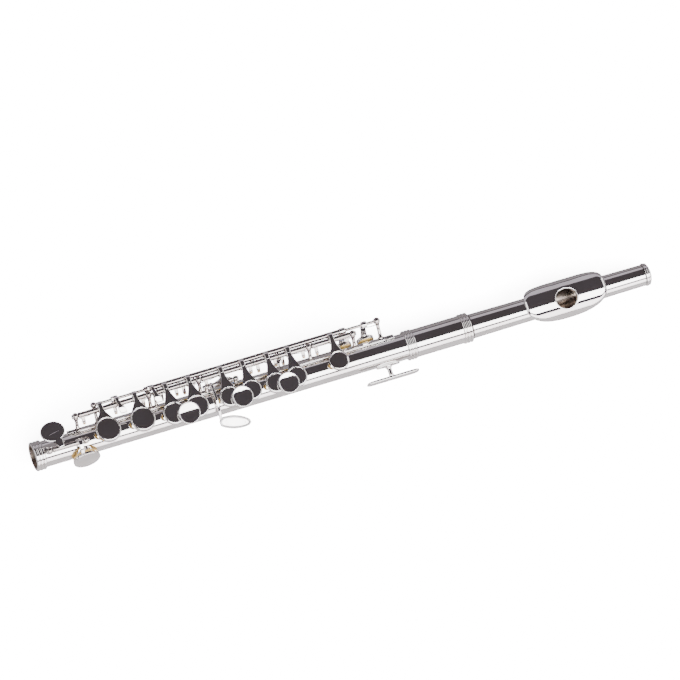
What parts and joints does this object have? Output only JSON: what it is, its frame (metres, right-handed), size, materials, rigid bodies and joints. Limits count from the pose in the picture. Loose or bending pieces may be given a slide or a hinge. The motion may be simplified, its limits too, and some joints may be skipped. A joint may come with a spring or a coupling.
{
  "type": "piccolo",
  "caption": "Silver-plated metal piccolo: body joint with sprung keywork on rods, sliding and turning head joint with lip plate, crown and stopper.",
  "frame": {"origin": "centre of the tube at the foot end's face", "axes": "+X along the tube from the foot to the crown, +Z towards the side of the key cups, +Y towards the rods on the player's side"},
  "size_m": [0.32, 0.0308, 0.0265],
  "materials": {
    "silver_plate": "polished silver plate",
    "rod_steel": "ground steel rod",
    "skin_pad": "golden fish-skin pad",
    "cork": "natural cork"
  },
  "bodies": {
    "body": {"body_tube": "silver_plate", "foot_ring": "silver_plate", "barrel": "silver_plate", "key_rib": "silver_plate", "finger_rest": "silver_plate", "lower_foot_post": "silver_plate", "lower_middle_post": "silver_plate", "lower_inner_post": "silver_plate", "centre_post": "silver_plate", "upper_middle_post": "silver_plate", "upper_head_post": "silver_plate", "trill_foot_post": "silver_plate", "trill_head_post": "silver_plate", "d_sharp_foot_post": "silver_plate", "d_sharp_head_post": "silver_plate", "g_sharp_foot_post": "silver_plate", "g_sharp_head_post": "silver_plate", "thumb_foot_post": "silver_plate", "thumb_head_post": "silver_plate", "lower_steel": "rod_steel", "upper_steel": "rod_steel", "d_sharp_steel": "rod_steel", "g_sharp_steel": "rod_steel", "thumb_steel": "rod_steel"},
    "d_key": {"d_key": "silver_plate", "d_pad": "skin_pad"},
    "e_key": {"e_key": "silver_plate", "e_pad": "skin_pad"},
    "f_key": {"f_key": "silver_plate", "f_pad": "skin_pad"},
    "f_sharp_key": {"f_sharp_key": "silver_plate", "f_sharp_pad": "skin_pad"},
    "g_key": {"g_key": "silver_plate", "g_lower_pad": "skin_pad", "g_upper_pad": "skin_pad"},
    "a_key": {"a_key": "silver_plate", "a_pad": "skin_pad"},
    "b_flat_key": {"b_flat_key": "silver_plate", "b_flat_pad": "skin_pad"},
    "c_key": {"c_key": "silver_plate", "c_pad": "skin_pad"},
    "g_sharp_key": {"g_sharp_key": "silver_plate", "g_sharp_pad": "skin_pad"},
    "d_sharp_key": {"d_sharp_key": "silver_plate", "d_sharp_pad": "skin_pad"},
    "d_trill_key": {"d_trill_key": "silver_plate", "d_trill_pad": "skin_pad"},
    "d_sharp_trill_key": {"d_sharp_trill_key": "silver_plate", "d_sharp_trill_pad": "skin_pad"},
    "thumb_b_key": {"thumb_b_key": "silver_plate", "thumb_b_pad": "skin_pad"},
    "thumb_b_flat_lever": {"thumb_b_flat_lever": "silver_plate"},
    "tenon": {"tenon_sleeve": "silver_plate"},
    "head": {"head_tube": "silver_plate", "riser": "silver_plate", "lip_plate": "silver_plate"},
    "crown": {"crown": "silver_plate"},
    "stopper": {"stopper_rod": "silver_plate", "stopper_cork": "cork"}
  },
  "joints": [
    {"name": "d_press", "type": "hinge", "parent": "body", "child": "d_key", "pos_m": [0.036, 0.0113, 0.009], "axis": [1, 0, 0], "range_deg": [0, 9], "stiffness_Nm_per_rad": 0.012, "springref_deg": -17.19},
    {"name": "e_press", "type": "hinge", "parent": "body", "child": "e_key", "pos_m": [0.053, 0.0113, 0.009], "axis": [1, 0, 0], "range_deg": [0, 9], "stiffness_Nm_per_rad": 0.012, "springref_deg": -17.19},
    {"name": "f_press", "type": "hinge", "parent": "body", "child": "f_key", "pos_m": [0.0705, 0.0113, 0.009], "axis": [1, 0, 0], "range_deg": [0, 9], "stiffness_Nm_per_rad": 0.012, "springref_deg": -17.19},
    {"name": "f_sharp_press", "type": "hinge", "parent": "body", "child": "f_sharp_key", "pos_m": [0.082, 0.0113, 0.009], "axis": [1, 0, 0], "range_deg": [0, 9], "stiffness_Nm_per_rad": 0.012, "springref_deg": -17.19},
    {"name": "g_press", "type": "hinge", "parent": "body", "child": "g_key", "pos_m": [0.102, 0.0113, 0.009], "axis": [1, 0, 0], "range_deg": [0, 9], "stiffness_Nm_per_rad": 0.012, "springref_deg": -17.19},
    {"name": "a_press", "type": "hinge", "parent": "body", "child": "a_key", "pos_m": [0.122, 0.0113, 0.009], "axis": [1, 0, 0], "range_deg": [0, 9], "stiffness_Nm_per_rad": 0.012, "springref_deg": -17.19},
    {"name": "b_flat_press", "type": "hinge", "parent": "body", "child": "b_flat_key", "pos_m": [0.135, 0.0113, 0.009], "axis": [1, 0, 0], "range_deg": [0, 9], "stiffness_Nm_per_rad": 0.012, "springref_deg": -17.19},
    {"name": "c_press", "type": "hinge", "parent": "body", "child": "c_key", "pos_m": [0.156, 0.0113, 0.009], "axis": [1, 0, 0], "range_deg": [0, 9], "stiffness_Nm_per_rad": 0.012, "springref_deg": -17.19},
    {"name": "g_sharp_press", "type": "hinge", "parent": "body", "child": "g_sharp_key", "pos_m": [0.098, 0.007, 0.0077], "axis": [1, 0, 0], "range_deg": [0, 8], "stiffness_Nm_per_rad": 0.012, "springref_deg": -17.19},
    {"name": "d_sharp_press", "type": "hinge", "parent": "body", "child": "d_sharp_key", "pos_m": [0.016, -0.0015, 0.0095], "axis": [-1, 0, 0], "range_deg": [0, 9], "stiffness_Nm_per_rad": 0.012, "springref_deg": -17.19},
    {"name": "d_trill_press", "type": "hinge", "parent": "body", "child": "d_trill_key", "pos_m": [0.113, 0.0144, 0.0076], "axis": [1, 0, 0], "range_deg": [0, 9], "stiffness_Nm_per_rad": 0.012, "springref_deg": -17.19},
    {"name": "d_sharp_trill_press", "type": "hinge", "parent": "body", "child": "d_sharp_trill_key", "pos_m": [0.108, 0.0144, 0.0076], "axis": [1, 0, 0], "range_deg": [0, 9], "stiffness_Nm_per_rad": 0.012, "springref_deg": -17.19},
    {"name": "thumb_b_press", "type": "hinge", "parent": "body", "child": "thumb_b_key", "pos_m": [0.152, 0.0084, -0.0066], "axis": [-1, 0, 0], "range_deg": [0, 8], "stiffness_Nm_per_rad": 0.012, "springref_deg": -17.19},
    {"name": "thumb_b_flat_press", "type": "hinge", "parent": "body", "child": "thumb_b_flat_lever", "pos_m": [0.137, 0.0084, -0.0066], "axis": [-1, 0, 0], "range_deg": [0, 5], "stiffness_Nm_per_rad": 0.012, "springref_deg": -17.19},
    {"name": "head_slide", "type": "slide", "parent": "body", "child": "tenon", "axis": [1, 0, 0], "range_m": [0, 0.01]},
    {"name": "head_turn", "type": "hinge", "parent": "tenon", "child": "head", "pos_m": [0.226, 0, 0], "axis": [1, 0, 0], "continuous": true},
    {"name": "crown_turn", "type": "hinge", "parent": "head", "child": "crown", "pos_m": [0.316, 0, 0], "axis": [1, 0, 0], "range_deg": [-540, 540]},
    {"name": "stopper_slide", "type": "slide", "parent": "head", "child": "stopper", "axis": [1, 0, 0], "range_m": [-0.0011, 0.0011]}
  ],
  "couplings": [
    {"joint": "f_sharp_press", "follows": "f_press", "ratio": 1},
    {"joint": "b_flat_press", "follows": "a_press", "ratio": 1},
    {"joint": "crown_turn", "follows": "stopper_slide", "rad_per_m": -8377.6}
  ]
}
